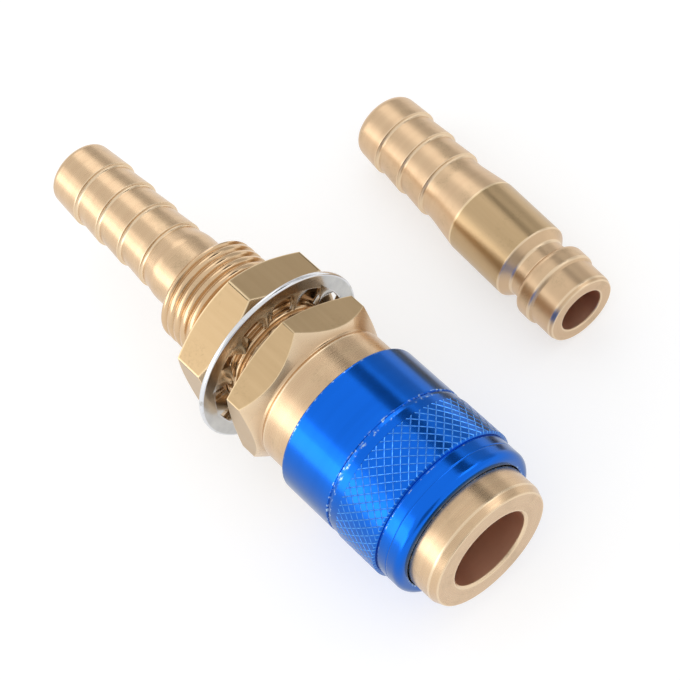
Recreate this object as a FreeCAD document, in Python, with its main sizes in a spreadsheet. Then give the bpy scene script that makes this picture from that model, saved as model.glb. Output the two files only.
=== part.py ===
import FreeCAD, Part
import math
import os

import Sketcher

# Panel-mount ball-lock quick coupling for a liquid cooling loop, with its loose plug beside it.
# +X runs along the socket's axis towards its mouth, +Z is up, and the origin is on the axis
# at the rear face of the hexagon, which seats on the panel. All lengths are millimetres.

Vector = FreeCAD.Vector
Rotation = FreeCAD.Rotation
Placement = FreeCAD.Placement

doc = FreeCAD.newDocument("QuickCoupling")
sheet = doc.addObject("Spreadsheet::Sheet", "Sizes")

DRIVING_SIZES = [
    # water way and hose tails, shared by the socket and the plug
    ("bore_radius", 3.75),
    ("tail_tip_wall", 1.2),
    ("tail_tip_step", 0.55),
    ("barb_height", 0.5),
    ("barb_pitch", 5.4),
    ("tail_tip_length", 6.6),
    ("tail_tip_round", 0.6),
    # rear body, turned from hexagon bar
    ("socket_barb_count", 4),
    ("tail_cone_length", 3.2),
    ("tail_neck_step", 0.2),
    ("tail_neck_length", 5.4),
    ("thread_radius", 9.0),
    ("thread_length", 20.7),
    ("thread_pitch", 1.5),
    ("thread_depth_ratio", 0.6134),
    ("hex_corner_length", 2.6),
    ("hex_cone_length", 3.0),
    ("hex_roll", -4.0),
    ("neck_rise", 1.0),
    ("neck_step", 0.4),
    ("neck_blend_length", 2.4),
    ("neck_overlap", 3.65),
    ("edge_break", 0.3),
    # nose body, screwed into the rear body
    ("mouth_radius", 6.6),
    ("mouth_depth", 15.3),
    ("mouth_chamfer", 0.3),
    ("race_depth", 0.2),
    ("race_margin", 0.2),
    ("barrel_wall", 2.5),
    ("spigot_step", 0.6),
    ("spigot_length", 8.7),
    ("chamber_wall", 1.5),
    ("nose_wall", 4.0),
    ("nose_reach", 25.7),
    ("nose_chamfer_length", 1.35),
    ("nose_chamfer_depth", 0.55),
    ("seal_bore_step", 0.45),
    ("seal_bore_length", 4.9),
    ("lip_height", 0.95),
    ("lip_thickness", 1.2),
    # panel nut and lock washer
    ("nut_corner_length", 4.75),
    ("nut_chamfer_length", 0.85),
    ("nut_face_step", 0.4),
    ("nut_roll", -0.4),
    ("thread_clearance", 0.05),
    ("washer_outer_radius", 14.8),
    ("washer_rim_width", 2.9),
    ("washer_tip_gap", 0.5),
    ("washer_thickness", 1.4),
    ("washer_edge_break", 0.175),
    ("washer_station", 3.7),
    ("washer_roll", -6.0),
    ("washer_tooth_count", 12),
    ("washer_tooth_width", 2.6),
    ("washer_tooth_twist", 22.0),
    ("washer_nut_gap", 0.06),
    # sleeve
    ("sleeve_stop_gap", 0.45),
    ("sleeve_setback", 5.2),
    ("sleeve_wall", 1.2),
    ("sleeve_travel", 3.4),
    ("sleeve_running_gap", 0.1),
    ("knurl_height", 0.1),
    ("knurl_length", 7.9),
    ("knurl_land_length", 1.4),
    ("knurl_land_step", 0.06),
    ("sleeve_groove_width", 0.5),
    ("sleeve_groove_depth", 0.25),
    ("front_ring_step", 0.4),
    ("front_ring_length", 4.2),
    ("front_groove_width", 0.4),
    ("front_groove_depth", 0.25),
    ("sleeve_ramp_slope", 0.29),
    ("sleeve_land_length", 6.15),
    ("nose_ramp_gap", 0.06),
    # locking balls
    ("ball_count", 8),
    ("ball_radius", 1.75),
    ("ball_depth", 10.8),
    ("ball_land_gap", 0.05),
    ("ball_running_gap", 0.05),
    ("ball_ramp_lead", 0.25),
    # springs
    ("sleeve_spring_wire_radius", 0.45),
    ("sleeve_spring_turns", 4.5),
    ("valve_spring_wire_radius", 0.35),
    ("valve_spring_inset", 1.8),
    ("valve_spring_turns", 5.5),
    # shut-off valve
    ("valve_travel", 4.0),
    ("crown_gap", 0.2),
    ("crown_wall", 1.0),
    ("crown_rim_length", 2.4),
    ("crown_slot_width", 4.4),
    ("poppet_side_gap", 0.8),
    ("poppet_head_length", 3.3),
    ("poppet_seat_gap", 0.2),
    ("poppet_stem_radius", 1.5),
    ("poppet_stem_overhang", 2.0),
    ("guide_thickness", 1.6),
    ("guide_hub_wall", 1.4),
    ("guide_arm_width", 2.2),
    ("guide_rim_width", 1.8),
    ("guide_arm_count", 3),
    ("stem_running_gap", 0.05),
    # seals
    ("nose_seal_cord_radius", 0.9),
    ("nose_seal_squeeze", 0.15),
    ("body_seal_cord_radius", 0.6),
    ("poppet_seal_cord_radius", 0.65),
    ("seal_side_gap", 0.25),
    ("seal_gap", 0.02),
    # plug
    ("plug_barb_count", 3),
    ("plug_nose_gap", 0.15),
    ("plug_nose_length", 4.4),
    ("plug_nose_chamfer_length", 0.7),
    ("plug_nose_chamfer_depth", 0.25),
    ("plug_ring_gap", 0.15),
    ("plug_ring_front_length", 0.5),
    ("plug_ring_length", 1.7),
    ("plug_ring_back_length", 1.35),
    ("plug_groove_depth", 1.4),
    ("plug_groove_length", 2.2),
    ("plug_shoulder_step", 0.6),
    ("plug_shoulder_length", 0.4),
    ("plug_body_chamfer_length", 1.2),
    ("plug_body_gap", 0.1),
    ("plug_body_length", 11.3),
    ("plug_cone_length", 5.8),
    ("plug_neck_step", 0.1),
    ("plug_neck_length", 2.3),
    ("plug_ball_offset", 0.75),
    # where the loose plug lies
    ("plug_face_x", 20.2),
    ("plug_side_distance", 37.8),
    ("plug_yaw", -3.7),
]

for row, (name, number) in enumerate(DRIVING_SIZES, start=1):
    sheet.set(f"A{row}", name)
    sheet.set(f"B{row}", str(number))
    sheet.setAlias(f"B{row}", name)
doc.recompute()


def size(name):
    """Expression that reads one cell of the sheet."""
    return f"Sizes.{name}"


def value(expression):
    """Number that an expression on the sheet gives now."""
    return float(sheet.evalExpression(expression))


# Radii of the nose body, stepped outwards and inwards from its mouth.
barrel_radius = "(Sizes.mouth_radius + Sizes.barrel_wall)"
nose_radius = "(Sizes.mouth_radius + Sizes.nose_wall)"
spigot_radius = f"({barrel_radius} - Sizes.spigot_step)"
chamber_radius = f"({spigot_radius} - Sizes.chamber_wall)"
seal_bore_radius = "(Sizes.mouth_radius - Sizes.seal_bore_step)"
lip_radius = f"({seal_bore_radius} - Sizes.lip_height)"
race_radius = "(Sizes.mouth_radius + Sizes.race_depth)"

# Radii of the rear body: its neck clears the nose, and its hexagon stands round the neck.
neck_radius = f"({nose_radius} + Sizes.neck_rise)"
hex_half = f"({neck_radius} + Sizes.neck_step)"
hex_corner = f"(2 * {hex_half} / sqrt(3))"
nut_face_radius = f"({hex_half} - Sizes.nut_face_step)"
thread_depth = "(Sizes.thread_depth_ratio * Sizes.thread_pitch)"
tail_tip_radius = "(Sizes.bore_radius + Sizes.tail_tip_wall)"
barb_root_radius = f"({tail_tip_radius} + Sizes.tail_tip_step)"
barb_crest_radius = f"({barb_root_radius} + Sizes.barb_height)"
tail_neck_radius = f"({barb_crest_radius} + Sizes.tail_neck_step)"

# Stations along the socket's axis.
hex_flat_front = "(Sizes.hex_corner_length + Sizes.hex_cone_length)"
blend_front = f"({hex_flat_front} + Sizes.neck_blend_length)"
sleeve_rear = f"({blend_front} + Sizes.sleeve_travel + Sizes.sleeve_stop_gap)"
neck_front = f"({sleeve_rear} + Sizes.neck_overlap)"
nose_front = f"({neck_front} + Sizes.nose_reach)"
tail_start = "(-Sizes.thread_length - Sizes.tail_neck_length - Sizes.tail_cone_length)"
spigot_rear = f"({neck_front} - Sizes.spigot_length)"
counterbore_floor = f"({spigot_rear} - Sizes.guide_thickness)"
mouth_floor = f"({nose_front} - Sizes.mouth_depth)"
lip_front = f"({mouth_floor} - Sizes.seal_bore_length)"
lip_rear = f"({lip_front} - Sizes.lip_thickness)"
seat_depth = f"({chamber_radius} - {lip_radius})"

# The sleeve's land holds the balls in, and its ramp lets them out as it is drawn back.
sleeve_front = f"({nose_front} - Sizes.sleeve_setback)"
sleeve_bore_radius = f"({neck_radius} + Sizes.sleeve_running_gap)"
sleeve_radius = f"({sleeve_bore_radius} + Sizes.sleeve_wall)"
knurl_radius = f"({sleeve_radius} + Sizes.knurl_height)"
front_ring_radius = f"({sleeve_radius} - Sizes.front_ring_step)"
land_radius = f"({barrel_radius} + Sizes.sleeve_running_gap)"
ball_station = f"({nose_front} - Sizes.ball_depth)"
ball_pitch_radius = f"({land_radius} - Sizes.ball_land_gap - Sizes.ball_radius)"
ramp_rear = f"({ball_station} - Sizes.ball_ramp_lead)"
land_rear = f"({ramp_rear} - Sizes.sleeve_land_length)"
sleeve_mouth_radius = f"({land_radius} + Sizes.sleeve_ramp_slope * ({sleeve_front} - {ramp_rear}))"
nose_ramp_rise = f"(Sizes.nose_ramp_gap - {land_radius})"
nose_ramp_rear = f"({ramp_rear} + ({barrel_radius} + {nose_ramp_rise}) / Sizes.sleeve_ramp_slope)"
nose_ramp_front = f"({ramp_rear} + ({nose_radius} + {nose_ramp_rise}) / Sizes.sleeve_ramp_slope)"

# Radii of the shut-off valve.
crown_radius = f"({lip_radius} - Sizes.crown_gap)"
crown_inner = f"({crown_radius} - Sizes.crown_wall)"
poppet_head_radius = f"({chamber_radius} - Sizes.poppet_side_gap)"
valve_spring_radius = f"({poppet_head_radius} - Sizes.valve_spring_inset)"
guide_hub_radius = "(Sizes.poppet_stem_radius + Sizes.guide_hub_wall)"

# Radii of the plug, taken from the bores that it slides in.
plug_nose_radius = f"({seal_bore_radius} - Sizes.plug_nose_gap)"
plug_ring_radius = "(Sizes.mouth_radius - Sizes.plug_ring_gap)"
plug_body_radius = "(Sizes.mouth_radius - Sizes.plug_body_gap)"
plug_groove_radius = f"({plug_body_radius} - Sizes.plug_groove_depth)"
plug_shoulder_radius = f"({plug_body_radius} - Sizes.plug_shoulder_step)"
plug_neck_radius = f"({barb_root_radius} + Sizes.plug_neck_step)"

# Stations along the plug, from its nose face at 0 towards its hose tail.
ring_front = "(-Sizes.plug_nose_length)"
ring_crest_front = f"({ring_front} - Sizes.plug_ring_front_length)"
ring_crest_rear = f"({ring_crest_front} - Sizes.plug_ring_length)"
groove_front = f"({ring_crest_rear} - Sizes.plug_ring_back_length)"
groove_back = f"({groove_front} - Sizes.plug_groove_length)"
shoulder_rear = f"({groove_back} - Sizes.plug_shoulder_length)"
body_front = f"({shoulder_rear} - Sizes.plug_body_chamfer_length)"
body_rear = f"({body_front} - Sizes.plug_body_length)"
cone_rear = f"({body_rear} - Sizes.plug_cone_length)"
plug_tail = f"({cone_rear} - Sizes.plug_neck_length)"
plugged_face = f"({ball_station} + {groove_front} - Sizes.plug_ball_offset)"

# Turns that one face of a spring's surface spans.
SPRING_FACE_TURNS = 0.25

# Side on which an arc's centre lies, seen along the outline.
LEFT = 1
RIGHT = -1


def origin_plane(body, role):
    """One of a body's own origin planes."""
    for feature in body.Origin.OriginFeatures:
        if feature.Role == role:
            return feature
    raise ValueError(role)


def arc_between(start, end, radius, side):
    """Arc of the shorter way round from start to end, with its centre on the given side."""
    chord = end - start
    reach = math.sqrt(radius**2 - (chord.Length / 2) ** 2)
    across = Vector(-chord.y, chord.x, 0).normalize()
    centre = (start + end) / 2 + across * reach * side
    low, high = (start, end) if side == LEFT else (end, start)
    low_angle = math.atan2(low.y - centre.y, low.x - centre.x)
    high_angle = math.atan2(high.y - centre.y, high.x - centre.x)
    if high_angle < low_angle:
        high_angle += 2 * math.pi
    circle = Part.Circle(centre, Vector(0, 0, 1), radius)
    return Part.ArcOfCircle(circle, low_angle, high_angle)


def turned_body(name, outline):
    """PartDesign body turned about the X axis from a closed outline.

    Each point of the outline is (x, radius) in expressions. A point that starts a round
    stretch is (x, radius, arc radius, side), and the arc runs from it to the next point.
    """
    body = doc.addObject("PartDesign::Body", name)
    sketch = body.newObject("Sketcher::SketchObject", name + "Outline")
    sketch.AttachmentSupport = [(origin_plane(body, "XY_Plane"), "")]
    sketch.MapMode = "FlatFace"
    corners = [Vector(value(point[0]), value(point[1]), 0) for point in outline]
    count = len(corners)
    ends = []
    for index, point in enumerate(outline):
        start, end = corners[index], corners[(index + 1) % count]
        if len(point) == 2:
            sketch.addGeometry(Part.LineSegment(start, end))
            ends.append((1, 2))
        else:
            arc_radius, side = point[2:]
            sketch.addGeometry(arc_between(start, end, value(arc_radius), side))
            ends.append((1, 2) if side == LEFT else (2, 1))
    for index in range(count):
        after = (index + 1) % count
        sketch.addConstraint(Sketcher.Constraint("Coincident", index, ends[index][1], after, ends[after][0]))
    for index, point in enumerate(outline):
        for kind, expression in (("DistanceX", point[0]), ("DistanceY", point[1])):
            rule = Sketcher.Constraint(kind, -1, 1, index, ends[index][0], value(expression))
            number = sketch.addConstraint(rule)
            sketch.setExpression(f"Constraints[{number}]", expression)
        if len(point) > 2:
            number = sketch.addConstraint(Sketcher.Constraint("Radius", index, value(point[2])))
            sketch.setExpression(f"Constraints[{number}]", point[2])
    turning = body.newObject("PartDesign::Revolution", name + "Turning")
    turning.Profile = sketch
    turning.ReferenceAxis = (sketch, ["H_Axis"])
    turning.Angle = 360
    body.Tip = turning
    return body


def bind(feature, **expressions):
    """Bind properties of a feature to expressions on the sheet."""
    for prop, expression in expressions.items():
        feature.setExpression(prop, expression)
    return feature


def lay_along_x(feature, x, roll=0.0, across=Vector(0, 0, 0)):
    """Lay a feature's own Z axis along +X at station x, rolled about it and moved across it."""
    turn = Rotation(Vector(1, 0, 0), roll).multiply(Rotation(Vector(0, 1, 0), 90))
    offset = turn.multVec(across)
    feature.Placement = Placement(Vector(value(x), 0, 0) + offset, turn)
    feature.setExpression("Placement.Base.x", x)


def spun_about_x(index, count):
    """Turn about the X axis that places one of a ring of equal features."""
    return Rotation(Vector(1, 0, 0), 360 * index / count)


def hexagon_bar(name, start, length, roll):
    """Hexagon bar along +X."""
    bar = doc.addObject("Part::Prism", name)
    bar.Polygon = 6
    bind(bar, Circumradius=hex_corner, Height=length)
    lay_along_x(bar, start, value(roll))
    return bar


def ring_seal(name, label, x, radius, cord_radius):
    """O-ring as a torus about the X axis."""
    seal = doc.addObject("Part::Torus", name)
    seal.Label = label
    bind(seal, Radius1=radius, Radius2=cord_radius)
    lay_along_x(seal, x)
    return seal


def coil_spring(name, label, start, length, radius, wire_radius, turns):
    """Round-wire compression spring along +X, between two faces."""
    helix = doc.addObject("Part::Helix", name + "Path")
    path_length = f"({length} - 2 * {wire_radius})"
    bind(helix, Radius=radius, Height=path_length, Pitch=f"{path_length} / {turns}")
    helix.SegmentLength = SPRING_FACE_TURNS
    wire = doc.addObject("Part::Circle", name + "Wire")
    bind(wire, Radius=wire_radius)
    wire.Placement = Placement(Vector(value(radius), 0, 0), Rotation(Vector(1, 0, 0), 90))
    wire.setExpression("Placement.Base.x", radius)
    doc.recompute()
    coil = doc.addObject("Part::Sweep", name)
    coil.Label = label
    coil.Sections = [wire]
    coil.Spine = (helix, [f"Edge{index + 1}" for index in range(len(helix.Shape.Edges))])
    coil.Solid = True
    coil.Frenet = True
    lay_along_x(coil, f"({start} + {wire_radius})")
    return coil


def barbs(first_step, count):
    """Saw-tooth hose tail running towards -X from its first step, ending in a rounded tip."""
    points = []
    for index in range(count):
        step = f"({first_step} - {index} * Sizes.barb_pitch)"
        points.append((step, barb_root_radius))
        points.append((step, barb_crest_radius))
    tip = tail_tip(first_step, count)
    points.append((f"({tip} + Sizes.tail_tip_round)", tail_tip_radius, size("tail_tip_round"), LEFT))
    points.append((tip, f"({tail_tip_radius} - Sizes.tail_tip_round)"))
    points.append((tip, size("bore_radius")))
    return points


def tail_tip(first_step, count):
    """Station of a hose tail's end face."""
    return f"({first_step} - {count - 1} * Sizes.barb_pitch - Sizes.tail_tip_length)"


# Rear body: hexagon bar turned down to the panel thread and the hose tail, bored through,
# with a counterbore at its front for the nose body and a groove there for the body seal.
body_seal_station = f"({spigot_rear} + Sizes.spigot_length / 2)"
body_seal_half = "(Sizes.body_seal_cord_radius + Sizes.seal_side_gap)"
body_seal_floor = f"({spigot_radius} + 2 * Sizes.body_seal_cord_radius + 2 * Sizes.seal_gap)"
cone_rate = f"(Sizes.hex_cone_length / ({hex_corner} - {hex_half}))"
blank_radius = f"({hex_corner} + Sizes.edge_break)"
blend_radius = "((Sizes.neck_blend_length^2 + Sizes.neck_step^2) / (2 * Sizes.neck_step))"
rear_outline = [
    (neck_front, spigot_radius),
    (neck_front, f"({neck_radius} - Sizes.edge_break)"),
    (f"({neck_front} - Sizes.edge_break)", neck_radius),
    (blend_front, neck_radius, blend_radius, RIGHT),
    (hex_flat_front, hex_half),
    (f"(Sizes.hex_corner_length - Sizes.edge_break * {cone_rate})", blank_radius),
    ("0", blank_radius),
    ("0", size("thread_radius")),
    (f"({thread_depth} - Sizes.thread_length)", size("thread_radius")),
    ("(-Sizes.thread_length)", f"(Sizes.thread_radius - {thread_depth})"),
    ("(-Sizes.thread_length)", tail_neck_radius),
    ("(-Sizes.thread_length - Sizes.tail_neck_length)", tail_neck_radius),
]
socket_barb_count = int(value(size("socket_barb_count")))
rear_outline += barbs(tail_start, socket_barb_count)
rear_outline += [
    ("0", size("bore_radius")),
    (f"({chamber_radius} - Sizes.bore_radius)", chamber_radius),
    (counterbore_floor, chamber_radius),
    (counterbore_floor, spigot_radius),
    (f"({body_seal_station} - {body_seal_half})", spigot_radius),
    (f"({body_seal_station} - {body_seal_half})", body_seal_floor),
    (f"({body_seal_station} + {body_seal_half})", body_seal_floor),
    (f"({body_seal_station} + {body_seal_half})", spigot_radius),
]
rear_turned = turned_body("RearTurned", rear_outline)
socket_tip = tail_tip(tail_start, socket_barb_count)
rear_bar = hexagon_bar("RearBar", socket_tip, f"({neck_front} - {socket_tip})", size("hex_roll"))
rear_body = doc.addObject("Part::Common", "RearBody")
rear_body.Label = "rear_body"
rear_body.Base = rear_turned
rear_body.Tool = rear_bar

# Nose body: spigot, barrel, ball shoulder and nose outside; mouth with a relieved ball race,
# seal bore, valve lip with its 45 degree seat, and valve chamber inside.
nose_seal_station = f"({mouth_floor} - Sizes.seal_bore_length / 2)"
nose_seal_half = "(Sizes.nose_seal_cord_radius + Sizes.seal_side_gap)"
nose_seal_radius = f"({plug_nose_radius} - Sizes.nose_seal_squeeze + Sizes.nose_seal_cord_radius)"
nose_seal_floor = f"({nose_seal_radius} + Sizes.nose_seal_cord_radius + Sizes.seal_gap)"
race_half = "(Sizes.ball_radius + Sizes.ball_running_gap + Sizes.race_margin)"
nose_outline = [
    (spigot_rear, chamber_radius),
    (spigot_rear, spigot_radius),
    (neck_front, spigot_radius),
    (neck_front, barrel_radius),
    (nose_ramp_rear, barrel_radius),
    (nose_ramp_front, nose_radius),
    (f"({nose_front} - Sizes.nose_chamfer_length)", nose_radius),
    (nose_front, f"({nose_radius} - Sizes.nose_chamfer_depth)"),
    (nose_front, "(Sizes.mouth_radius + Sizes.mouth_chamfer)"),
    (f"({nose_front} - Sizes.mouth_chamfer)", size("mouth_radius")),
    (f"({ball_station} + {race_half})", size("mouth_radius")),
    (f"({ball_station} + {race_half})", race_radius),
    (f"({ball_station} - {race_half})", race_radius),
    (f"({ball_station} - {race_half})", size("mouth_radius")),
    (mouth_floor, size("mouth_radius")),
    (f"({mouth_floor} - Sizes.seal_bore_step)", seal_bore_radius),
    (f"({nose_seal_station} + {nose_seal_half})", seal_bore_radius),
    (f"({nose_seal_station} + {nose_seal_half})", nose_seal_floor),
    (f"({nose_seal_station} - {nose_seal_half})", nose_seal_floor),
    (f"({nose_seal_station} - {nose_seal_half})", seal_bore_radius),
    (lip_front, seal_bore_radius),
    (lip_front, lip_radius),
    (lip_rear, lip_radius),
    (f"({lip_rear} - {seat_depth})", chamber_radius),
]
nose_turned = turned_body("NoseTurned", nose_outline)


def bind_ball_place(feature, angle):
    """Put a round feature at one of the balls' centres, at an angle about the axis from +Z."""
    feature.setExpression("Placement.Base.x", ball_station)
    feature.setExpression("Placement.Base.y", f"-{ball_pitch_radius} * sin({angle} * 1 deg)")
    feature.setExpression("Placement.Base.z", f"{ball_pitch_radius} * cos({angle} * 1 deg)")


# Each ball sits in a radial hole whose inner end is a spherical lip, so that it cannot fall
# through into the mouth. The sleeve's land holds it inwards.
ball_count = int(value(size("ball_count")))
ball_seats = []
balls = []
for index in range(ball_count):
    angle = 360 * index / ball_count
    radial = spun_about_x(index, ball_count).multVec(Vector(0, 0, 1))
    drilling = doc.addObject("Part::Cylinder", f"BallDrilling{index + 1}")
    bind(drilling, Radius="Sizes.ball_radius + Sizes.ball_running_gap", Height=nose_radius)
    drilling.Placement = Placement(Vector(0, 0, 0), Rotation(Vector(0, 0, 1), radial))
    bind_ball_place(drilling, angle)
    cup = doc.addObject("Part::Sphere", f"BallCup{index + 1}")
    bind(cup, Radius="Sizes.ball_radius + Sizes.ball_running_gap")
    bind_ball_place(cup, angle)
    ball_seats += [drilling, cup]
    ball = doc.addObject("Part::Sphere", f"LockingBall{index + 1}")
    ball.Label = f"locking_ball_{index + 1}"
    bind(ball, Radius=size("ball_radius"))
    bind_ball_place(ball, angle)
    balls.append(ball)
ball_holes = doc.addObject("Part::MultiFuse", "BallHoles")
ball_holes.Shapes = ball_seats
nose_body = doc.addObject("Part::Cut", "NoseBody")
nose_body.Label = "nose_body"
nose_body.Base = nose_turned
nose_body.Tool = ball_holes

# Sleeve: plain rear, groove, knurled band, groove and front ring outside; running bore over the
# neck, land over the balls and release ramp inside.
ring_rear = f"({sleeve_front} - Sizes.front_ring_length)"
knurl_front = f"({ring_rear} - Sizes.front_groove_width)"
knurl_rear = f"({knurl_front} - Sizes.knurl_length)"
knurl_land_rear = f"({knurl_rear} - Sizes.knurl_land_length)"
knurl_land_radius = f"({sleeve_radius} - Sizes.knurl_land_step)"
groove_rear = f"({knurl_land_rear} - Sizes.sleeve_groove_width)"
groove_floor = f"({sleeve_radius} - Sizes.sleeve_groove_depth)"
front_groove_floor = f"({front_ring_radius} - Sizes.front_groove_depth)"
sleeve_outline = [
    (sleeve_rear, sleeve_bore_radius),
    (sleeve_rear, f"({sleeve_radius} - Sizes.edge_break)"),
    (f"({sleeve_rear} + Sizes.edge_break)", sleeve_radius),
    (groove_rear, sleeve_radius),
    (groove_rear, groove_floor),
    (knurl_land_rear, groove_floor),
    (knurl_land_rear, knurl_land_radius),
    (knurl_rear, knurl_land_radius),
    (knurl_rear, knurl_radius),
    (knurl_front, knurl_radius),
    (knurl_front, front_groove_floor),
    (ring_rear, front_groove_floor),
    (ring_rear, front_ring_radius),
    (f"({sleeve_front} - Sizes.edge_break)", front_ring_radius),
    (sleeve_front, f"({front_ring_radius} - Sizes.edge_break)"),
    (sleeve_front, sleeve_mouth_radius),
    (ramp_rear, land_radius),
    (land_rear, land_radius),
    (land_rear, sleeve_bore_radius),
]
sleeve = turned_body("Sleeve", sleeve_outline)
sleeve.Label = "sleeve"

sleeve_spring = coil_spring(
    "SleeveSpring",
    "sleeve_spring",
    neck_front,
    f"({land_rear} - {neck_front})",
    f"(({barrel_radius} + {sleeve_bore_radius}) / 2)",
    size("sleeve_spring_wire_radius"),
    size("sleeve_spring_turns"),
)

# Panel nut: hexagon with both faces chamfered, bored to run on the thread.
tooth_half_height = (
    "(Sizes.washer_tooth_width / 2 * sin(Sizes.washer_tooth_twist * 1 deg)"
    " + Sizes.washer_thickness / 2 * cos(Sizes.washer_tooth_twist * 1 deg))"
)
nut_front = f"(-Sizes.washer_station - {tooth_half_height} - Sizes.washer_nut_gap)"
nut_rate = f"(Sizes.nut_chamfer_length / ({hex_corner} - {hex_half}))"
nut_face_depth = f"({nut_rate} * ({hex_corner} - {nut_face_radius}))"
nut_rear = f"({nut_front} - Sizes.nut_corner_length - 2 * {nut_face_depth})"
nut_outer_depth = f"({nut_rate} * ({blank_radius} - {nut_face_radius}))"
nut_bore = "(Sizes.thread_radius + Sizes.thread_clearance)"
nut_outline = [
    (f"({nut_rear} + Sizes.edge_break)", nut_bore),
    (nut_rear, f"({nut_bore} + Sizes.edge_break)"),
    (nut_rear, nut_face_radius),
    (f"({nut_rear} + {nut_outer_depth})", blank_radius),
    (f"({nut_front} - {nut_outer_depth})", blank_radius),
    (nut_front, nut_face_radius),
    (nut_front, f"({nut_bore} + Sizes.edge_break)"),
    (f"({nut_front} - Sizes.edge_break)", nut_bore),
]
nut_turned = turned_body("NutTurned", nut_outline)
nut_bar = hexagon_bar("NutBar", nut_rear, f"({nut_front} - {nut_rear})", size("nut_roll"))
mounting_nut = doc.addObject("Part::Common", "MountingNut")
mounting_nut.Label = "mounting_nut"
mounting_nut.Base = nut_turned
mounting_nut.Tool = nut_bar

# Lock washer: flat ring with inward teeth, each twisted about its own radius.
washer_ring_radius = "(Sizes.washer_outer_radius - Sizes.washer_rim_width)"
washer_tip_radius = "(Sizes.thread_radius + Sizes.washer_tip_gap)"
washer_rear = "(-Sizes.washer_station - Sizes.washer_thickness / 2)"
washer_front = "(-Sizes.washer_station + Sizes.washer_thickness / 2)"
washer_face_radius = "(Sizes.washer_outer_radius - Sizes.washer_edge_break)"
washer_outline = [
    (washer_rear, washer_ring_radius),
    (washer_rear, washer_face_radius),
    (f"({washer_rear} + Sizes.washer_edge_break)", size("washer_outer_radius")),
    (f"({washer_front} - Sizes.washer_edge_break)", size("washer_outer_radius")),
    (washer_front, washer_face_radius),
    (washer_front, washer_ring_radius),
]
washer_ring = turned_body("WasherRing", washer_outline)
tooth_root = f"({washer_ring_radius} + Sizes.washer_thickness / 2)"
tooth_count = int(value(size("washer_tooth_count")))
tooth_twist = Rotation(Vector(0, 0, 1), value(size("washer_tooth_twist")))
tooth_corner = Vector(
    -value("Sizes.washer_thickness / 2"),
    -value("Sizes.washer_tooth_width / 2"),
    value(washer_tip_radius),
)
washer_turn = Rotation(Vector(1, 0, 0), value(size("washer_roll")))
washer_centre = Vector(value("-Sizes.washer_station"), 0, 0)
washer_pieces = [washer_ring]
for index in range(tooth_count):
    tooth = doc.addObject("Part::Box", f"WasherTooth{index + 1}")
    bind(
        tooth,
        Length=size("washer_thickness"),
        Width=size("washer_tooth_width"),
        Height=f"{tooth_root} - {washer_tip_radius}",
    )
    turn = washer_turn.multiply(spun_about_x(index, tooth_count)).multiply(tooth_twist)
    tooth.Placement = Placement(washer_centre + turn.multVec(tooth_corner), turn)
    washer_pieces.append(tooth)
lock_washer = doc.addObject("Part::MultiFuse", "LockWasher")
lock_washer.Label = "lock_washer"
lock_washer.Shapes = washer_pieces

# Valve poppet: stem, head with its seal on a 45 degree cone, and a slotted crown that the
# plug's nose pushes back.
crown_front = f"({plugged_face} + Sizes.valve_travel)"
poppet_front = f"({lip_rear} - Sizes.poppet_seat_gap * sqrt(2) + {lip_radius} - {crown_radius})"
poppet_cone = f"({poppet_head_radius} - {crown_radius})"
poppet_rear = f"({poppet_front} - Sizes.poppet_head_length)"
stem_rear = f"({counterbore_floor} - Sizes.poppet_stem_overhang)"
poppet_outline = [
    (stem_rear, "0"),
    (stem_rear, "(Sizes.poppet_stem_radius - Sizes.edge_break)"),
    (f"({stem_rear} + Sizes.edge_break)", size("poppet_stem_radius")),
    (poppet_rear, size("poppet_stem_radius")),
    (poppet_rear, poppet_head_radius),
    (f"({poppet_front} - {poppet_cone})", poppet_head_radius),
    (poppet_front, crown_radius),
    (crown_front, crown_radius),
    (crown_front, crown_inner),
    (poppet_front, crown_inner),
    (poppet_front, "0"),
]
poppet_turned = turned_body("PoppetTurned", poppet_outline)
poppet_seal_inset = "(Sizes.poppet_seal_cord_radius - Sizes.poppet_seat_gap + Sizes.seal_gap) / sqrt(2)"
poppet_seal_radius = f"(({poppet_head_radius} + {crown_radius}) / 2 - {poppet_seal_inset})"
poppet_seal_station = f"({poppet_front} - {poppet_cone} / 2 - {poppet_seal_inset})"
poppet_seal = ring_seal(
    "PoppetSeal",
    "poppet_seal",
    poppet_seal_station,
    poppet_seal_radius,
    size("poppet_seal_cord_radius"),
)
seal_groove = doc.addObject("Part::Torus", "PoppetSealGroove")
bind(seal_groove, Radius1=poppet_seal_radius, Radius2="Sizes.poppet_seal_cord_radius + Sizes.seal_gap")
lay_along_x(seal_groove, poppet_seal_station)
poppet_cuts = [seal_groove]
slot_length = f"({crown_front} - {poppet_front} - Sizes.crown_rim_length)"
slot_corner = Vector(-value(crown_radius), -value("Sizes.crown_slot_width / 2"), 0)
for slot_roll in (45, 135):
    slot = doc.addObject("Part::Box", f"CrownSlot{slot_roll}")
    bind(slot, Length=f"2 * {crown_radius}", Width=size("crown_slot_width"), Height=slot_length)
    lay_along_x(slot, poppet_front, slot_roll, slot_corner)
    poppet_cuts.append(slot)
poppet_tools = doc.addObject("Part::MultiFuse", "PoppetTools")
poppet_tools.Shapes = poppet_cuts
valve_poppet = doc.addObject("Part::Cut", "ValvePoppet")
valve_poppet.Label = "valve_poppet"
valve_poppet.Base = poppet_turned
valve_poppet.Tool = poppet_tools

valve_spring = coil_spring(
    "ValveSpring",
    "valve_spring",
    spigot_rear,
    f"({poppet_rear} - {spigot_rear})",
    valve_spring_radius,
    size("valve_spring_wire_radius"),
    size("valve_spring_turns"),
)

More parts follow.
